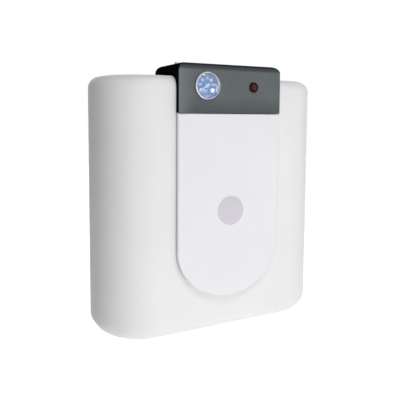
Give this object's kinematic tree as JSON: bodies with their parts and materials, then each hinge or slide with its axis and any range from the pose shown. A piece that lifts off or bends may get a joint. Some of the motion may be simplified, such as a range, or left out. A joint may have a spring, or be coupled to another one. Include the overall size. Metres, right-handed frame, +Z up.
{
  "type": "electric water heater",
  "caption": "Slim wall-hung electric storage water heater with rounded casing, raised front band, dark control cover, dial gauge and pilot lamp; lifts off its wall bracket.",
  "frame": {"origin": "on the wall plane, midway between the wall bracket's two screw holes", "axes": "+Z up; +Y into the wall, so the front faces -Y; +X to the right seen from the front"},
  "size_m": [0.388, 0.1285, 0.4384],
  "materials": {
    "casing_white": "gloss moulded",
    "control_grey": "satin moulded",
    "panel_white": "gloss moulded",
    "badge_film": "plain film",
    "tray_plastic": "moulded",
    "pale_foam": "expanded foam",
    "tank_steel": "stainless, brushed",
    "zinc_steel": "zinc plated",
    "screw_steel": "stainless",
    "gasket_rubber": "moulded",
    "element_sheath": "annealed sheath",
    "magnesium": "cast rod",
    "white_ceramic": "unglazed",
    "phenolic": "moulded thermoset",
    "red_plastic": "moulded",
    "blue_plastic": "moulded",
    "black_plastic": "moulded",
    "brass": "turned",
    "copper_tube": "drawn copper",
    "gauge_chrome": "polished",
    "gauge_glass": "clear",
    "dial_blue": "printed",
    "needle_white": "painted",
    "lamp_red": "tinted lens",
    "lead_sleeve": "wire sleeve",
    "bracket_steel": "galvanised strip"
  },
  "bodies": {
    "wall_bracket": {"wall_bracket": "bracket_steel"},
    "heater": {"front_shell": "casing_white", "back_tray": "casing_white", "front_panel": "panel_white", "badge_disc": "badge_film", "control_cover": "control_grey", "cover_screws": "screw_steel", "casing_screws": "screw_steel", "control_tray": "tray_plastic", "insulation_front": "pale_foam", "insulation_back": "pale_foam", "tank_wrapper": "tank_steel", "tank_top_end": "tank_steel", "tank_bottom_end": "tank_steel", "tank_stays": "tank_steel", "tank_bosses": "tank_steel", "tank_bolts": "zinc_steel", "flange_collar": "tank_steel", "flange_studs": "zinc_steel", "flange_gasket": "gasket_rubber", "element_flange": "tank_steel", "flange_nuts": "zinc_steel", "heating_element": "element_sheath", "element_terminals": "white_ceramic", "sensor_pocket": "tank_steel", "anode_rod": "magnesium", "anode_stud": "zinc_steel", "thermostat_body": "phenolic", "thermostat_rod": "copper_tube", "terminal_block": "white_ceramic", "terminal_screws": "brass", "inlet_pipe": "tank_steel", "outlet_pipe": "tank_steel", "inlet_collar": "blue_plastic", "outlet_collar": "red_plastic", "inlet_diffuser": "black_plastic", "gland_body": "black_plastic", "gland_nut": "black_plastic", "gland_seal": "gasket_rubber", "gland_locknut": "black_plastic", "cable_conduit": "tray_plastic", "gauge_case": "zinc_steel", "gauge_bezel": "gauge_chrome", "gauge_lens": "gauge_glass", "gauge_dial": "dial_blue", "gauge_movement": "brass", "gauge_clip": "zinc_steel", "gauge_pocket": "tank_steel", "capillary_tube": "copper_tube", "lamp_body": "black_plastic", "lamp_lens": "lamp_red", "lamp_clip": "zinc_steel", "lamp_leads": "lead_sleeve", "power_leads": "lead_sleeve", "hanger_plate": "bracket_steel", "recess_plate": "zinc_steel"},
    "gauge_pointer": {"gauge_needle": "needle_white", "gauge_spindle": "brass"},
    "thermostat_dial": {"thermostat_dial": "black_plastic"},
    "reset_button": {"reset_button": "red_plastic"}
  },
  "joints": [
    {"name": "hang_lift", "type": "slide", "parent": "wall_bracket", "child": "heater", "axis": [0, 0, 1], "range_m": [0, 0.011]},
    {"name": "gauge_pointer_turn", "type": "hinge", "parent": "heater", "child": "gauge_pointer", "pos_m": [-0.043, -0.121, 0.075], "axis": [0, 1, 0], "range_deg": [0, 240], "stiffness_Nm_per_rad": 0.0005},
    {"name": "thermostat_dial_turn", "type": "hinge", "parent": "heater", "child": "thermostat_dial", "pos_m": [-0.01, -0.059, 0.078], "axis": [0, 0, 1], "range_deg": [0, 270]},
    {"name": "reset_button_press", "type": "slide", "parent": "heater", "child": "reset_button", "axis": [0, 0, -1], "range_m": [0, 0.002], "stiffness_N_per_m": 500}
  ]
}
